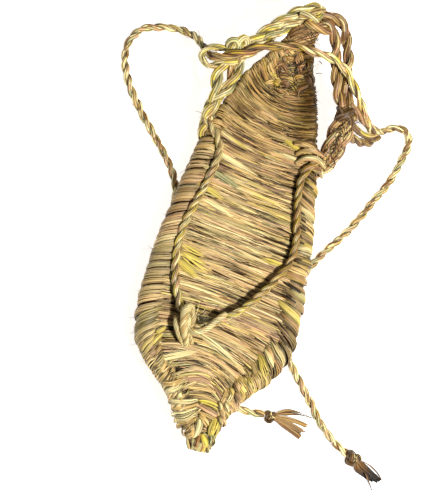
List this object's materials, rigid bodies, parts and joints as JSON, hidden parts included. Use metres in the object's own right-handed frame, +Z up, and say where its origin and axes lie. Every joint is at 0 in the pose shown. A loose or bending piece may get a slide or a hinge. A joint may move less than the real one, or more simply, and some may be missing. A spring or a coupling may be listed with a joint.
{
  "type": "straw sandal",
  "caption": "Woven straw sandal with a thick pointed sole, upturned heel, twisted cord straps with ears and a heel strap, and a tie cord with knotted tassels.",
  "frame": {"origin": "on the flat underside of the sole, under the middle of the foot bed", "axes": "+X across the foot, +Y from toe to heel, +Z up"},
  "size_m": [0.2263, 0.2806, 0.0461],
  "materials": {
    "straw_weave": "packed dry straw, tan with yellow and grey-green strands",
    "straw_cord": "two-ply twisted straw cord",
    "pale_straw": "pale twisted straw cord",
    "brown_straw": "brown bundled straw",
    "tie_cord": "thin two-ply twisted straw cord",
    "tassel_straw": "loose straw ends, darker at the tips"
  },
  "bodies": {
    "root": {"sole": "straw_weave", "upper": "straw_cord", "toe_loop": "pale_straw", "heel_binding": "brown_straw", "tie_cross": "tie_cord", "tie_left": "tie_cord", "tie_right": "tie_cord", "knot_left": "tie_cord", "knot_right": "tie_cord", "tassel_left": "tassel_straw", "tassel_right": "tassel_straw"}
  },
  "joints": []
}
